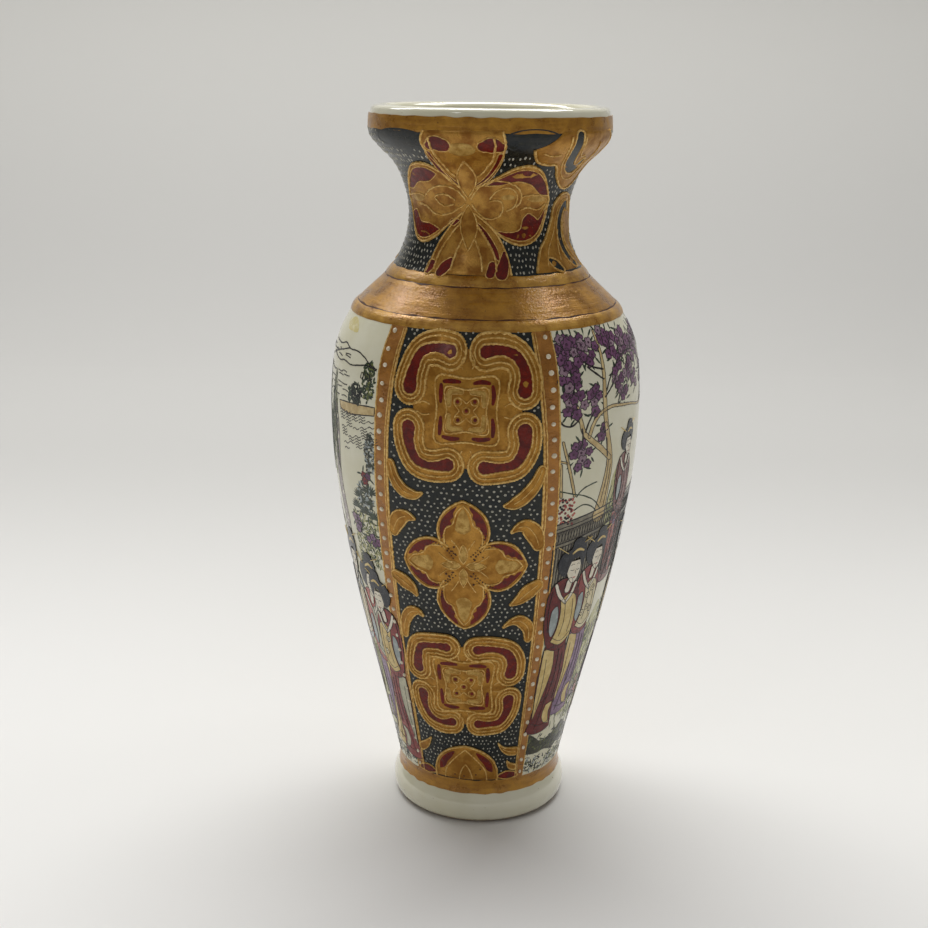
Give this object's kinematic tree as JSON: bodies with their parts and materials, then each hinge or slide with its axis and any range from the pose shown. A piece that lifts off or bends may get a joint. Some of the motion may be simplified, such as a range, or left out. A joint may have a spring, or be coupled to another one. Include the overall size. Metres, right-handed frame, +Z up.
{
  "type": "porcelain vase",
  "caption": "Slender porcelain vase with a flared lip, round shoulder and ring foot, gilded bands, raised-slip brocade panels and printed figure scenes.",
  "frame": {"origin": "centre of the circle on which the foot ring stands", "axes": "+Z up along the vase's axis, -Y out of the middle of the front ornament panel, +X out of the right scene panel"},
  "size_m": [0.0662, 0.068, 0.154],
  "materials": {
    "porcelain_glaze": "cream-white glazed porcelain, glossy",
    "gilt": "brushed-on liquid gold, worn bronze lustre",
    "gilt_slip": "raised slip washed with pale gold",
    "ground_enamel": "navy-black enamel stippled with small white dots",
    "border_enamel": "rust-orange enamel with gold edge lines and raised white dots",
    "scene_print": "cream glaze with outlined, hand-coloured transfer print"
  },
  "bodies": {
    "root": {"porcelain_body": "porcelain_glaze", "foot_gilt_band": "gilt", "shoulder_lower_fillet": "gilt_slip", "shoulder_gilt_band": "gilt", "shoulder_upper_fillet": "gilt_slip", "neck_enamel_ground": "ground_enamel", "lip_gilt_band": "gilt", "front_panel_ground": "ground_enamel", "front_left_border": "border_enamel", "front_right_border": "border_enamel", "right_scene_panel": "scene_print", "back_panel_ground": "ground_enamel", "back_left_border": "border_enamel", "back_right_border": "border_enamel", "left_scene_panel": "scene_print", "front_upper_medallion": "gilt_slip", "front_panel_flower": "gilt_slip", "front_lower_medallion": "gilt_slip", "front_half_flower": "gilt_slip", "front_left_scroll": "gilt_slip", "front_right_scroll": "gilt_slip", "front_neck_flower": "gilt_slip", "front_neck_scroll": "gilt_slip", "back_upper_medallion": "gilt_slip", "back_panel_flower": "gilt_slip", "back_lower_medallion": "gilt_slip", "back_half_flower": "gilt_slip", "back_left_scroll": "gilt_slip", "back_right_scroll": "gilt_slip", "back_neck_flower": "gilt_slip", "back_neck_scroll": "gilt_slip"}
  },
  "joints": []
}
